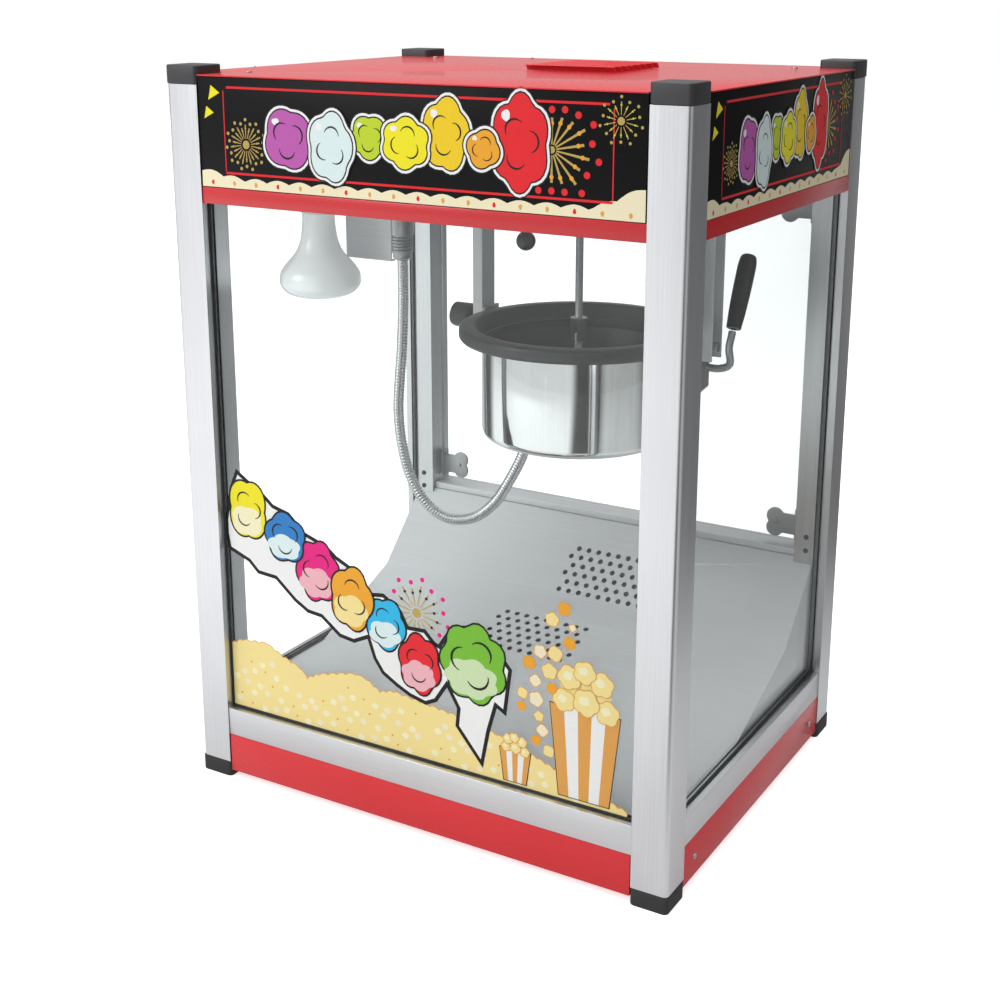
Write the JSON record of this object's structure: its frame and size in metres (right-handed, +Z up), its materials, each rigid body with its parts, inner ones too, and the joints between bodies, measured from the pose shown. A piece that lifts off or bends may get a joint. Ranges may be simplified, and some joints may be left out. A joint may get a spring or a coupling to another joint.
{
  "type": "tabletop popcorn maker",
  "caption": "Glazed tabletop popcorn maker with a tilting kettle hung from its header, a sloped deck, rear doors and a crumb drawer.",
  "frame": {"origin": "on the supporting surface under the middle of the cabinet", "axes": "+X right along the customer's glass, +Y towards the operator's doors, +Z up"},
  "size_m": [0.56, 0.45, 0.76],
  "materials": {
    "post_aluminium": "satin anodised extrusion",
    "cap_plastic": "moulded, lightly grained",
    "foot_rubber": "moulded",
    "red_paint": "gloss baked enamel",
    "rail_aluminium": "satin, drawn along its length",
    "pane_glass": "clear tempered glass",
    "sign_print": "back-printed acrylic sheet, black ground",
    "sheet_steel": "brushed stainless sheet",
    "door_acrylic": "clear acrylic sheet and mouldings",
    "knob_plastic": "moulded black",
    "rocker_plastic": "moulded red",
    "socket_ceramic": "white unglazed",
    "bulb_glass": "frosted reflector lamp",
    "conduit_steel": "wound strip",
    "motor_casting": "as cast",
    "shaft_steel": "turned",
    "kettle_steel": "polished to a mirror",
    "pot_coating": "dark hard-anodised",
    "bracket_casting": "as cast, tumbled",
    "gland_brass": "nickel-free, turned"
  },
  "bodies": {
    "cabinet": {"post_front_left": "post_aluminium", "post_front_right": "post_aluminium", "post_rear_left": "post_aluminium", "post_rear_right": "post_aluminium", "post_cap_front_left": "cap_plastic", "post_cap_front_right": "cap_plastic", "post_cap_rear_left": "cap_plastic", "post_cap_rear_right": "cap_plastic", "foot_front_left": "foot_rubber", "foot_front_right": "foot_rubber", "foot_rear_left": "foot_rubber", "foot_rear_right": "foot_rubber", "base_tray": "red_paint", "glass_rail_front": "rail_aluminium", "glass_rail_left": "rail_aluminium", "glass_rail_right": "rail_aluminium", "glass_front": "pane_glass", "glass_left": "pane_glass", "glass_right": "pane_glass", "header_trim": "red_paint", "top_cover": "red_paint", "ceiling_plate": "sheet_steel", "sign_panel_front": "sign_print", "sign_panel_left": "sign_print", "sign_panel_right": "sign_print", "sign_panel_rear": "sign_print", "popcorn_deck": "sheet_steel", "rear_sill": "sheet_steel", "rear_panel": "sheet_steel", "lamp_socket": "socket_ceramic", "lamp_bulb": "bulb_glass", "lamp_shield": "sheet_steel", "hanger_left": "sheet_steel", "hanger_right": "sheet_steel", "conduit_connector": "conduit_steel", "conduit": "conduit_steel", "drive_motor": "motor_casting"},
    "crumb_drawer": {"crumb_drawer": "sheet_steel"},
    "door_left": {"door_left": "door_acrylic", "door_hinge_left_lower": "door_acrylic", "door_hinge_left_upper": "door_acrylic", "door_knob_left": "knob_plastic"},
    "door_right": {"door_right": "door_acrylic", "door_hinge_right_lower": "door_acrylic", "door_hinge_right_upper": "door_acrylic", "door_knob_right": "knob_plastic"},
    "kettle": {"kettle_shell": "kettle_steel", "kettle_pot": "pot_coating", "kettle_heater": "motor_casting", "kettle_bracket_left": "bracket_casting", "pivot_nut": "bracket_casting", "handle_bracket": "bracket_casting", "handle_grip": "knob_plastic", "kettle_gland": "gland_brass"},
    "agitator": {"agitator": "shaft_steel"},
    "drive_shaft": {"drive_shaft": "shaft_steel"},
    "pull_knob": {"pull_knob": "knob_plastic"},
    "rocker_heat": {"rocker_heat": "rocker_plastic"},
    "rocker_stir": {"rocker_stir": "rocker_plastic"},
    "rocker_light": {"rocker_light": "rocker_plastic"}
  },
  "joints": [
    {"name": "door_left_hinge", "type": "hinge", "parent": "cabinet", "child": "door_left", "pos_m": [-0.2362, 0.2092, 0.4246], "axis": [0, 0, 1], "range_deg": [0, 95]},
    {"name": "door_right_hinge", "type": "hinge", "parent": "cabinet", "child": "door_right", "pos_m": [0.2362, 0.2092, 0.4246], "axis": [0, 0, -1], "range_deg": [0, 95]},
    {"name": "drawer_slide", "type": "slide", "parent": "cabinet", "child": "crumb_drawer", "axis": [0, 1, 0], "range_m": [0, 0.26]},
    {"name": "kettle_tilt", "type": "hinge", "parent": "cabinet", "child": "kettle", "pos_m": [0.062, 0.033, 0.482], "axis": [1, 0, 0], "range_deg": [0, 90], "deforming": ["conduit"]},
    {"name": "drive_spin", "type": "hinge", "parent": "cabinet", "child": "drive_shaft", "pos_m": [0.062, 0, 0.56], "axis": [0, 0, 1], "continuous": true},
    {"name": "agitator_spin", "type": "hinge", "parent": "kettle", "child": "agitator", "pos_m": [0.062, 0, 0.44], "axis": [0, 0, 1], "continuous": true},
    {"name": "pull_knob_slide", "type": "slide", "parent": "cabinet", "child": "pull_knob", "axis": [0, 0, -1], "range_m": [0, 0.012], "stiffness_N_per_m": 200, "springref_m": -0.005},
    {"name": "rocker_heat_tip", "type": "hinge", "parent": "cabinet", "child": "rocker_heat", "pos_m": [0.076, 0.2064, 0.14], "axis": [1, 0, 0], "range_deg": [0, 20]},
    {"name": "rocker_stir_tip", "type": "hinge", "parent": "cabinet", "child": "rocker_stir", "pos_m": [0.12, 0.2064, 0.14], "axis": [1, 0, 0], "range_deg": [0, 20]},
    {"name": "rocker_light_tip", "type": "hinge", "parent": "cabinet", "child": "rocker_light", "pos_m": [0.164, 0.2064, 0.14], "axis": [1, 0, 0], "range_deg": [0, 20]}
  ],
  "couplings": [
    {"joint": "agitator_spin", "follows": "drive_spin", "ratio": 1}
  ]
}
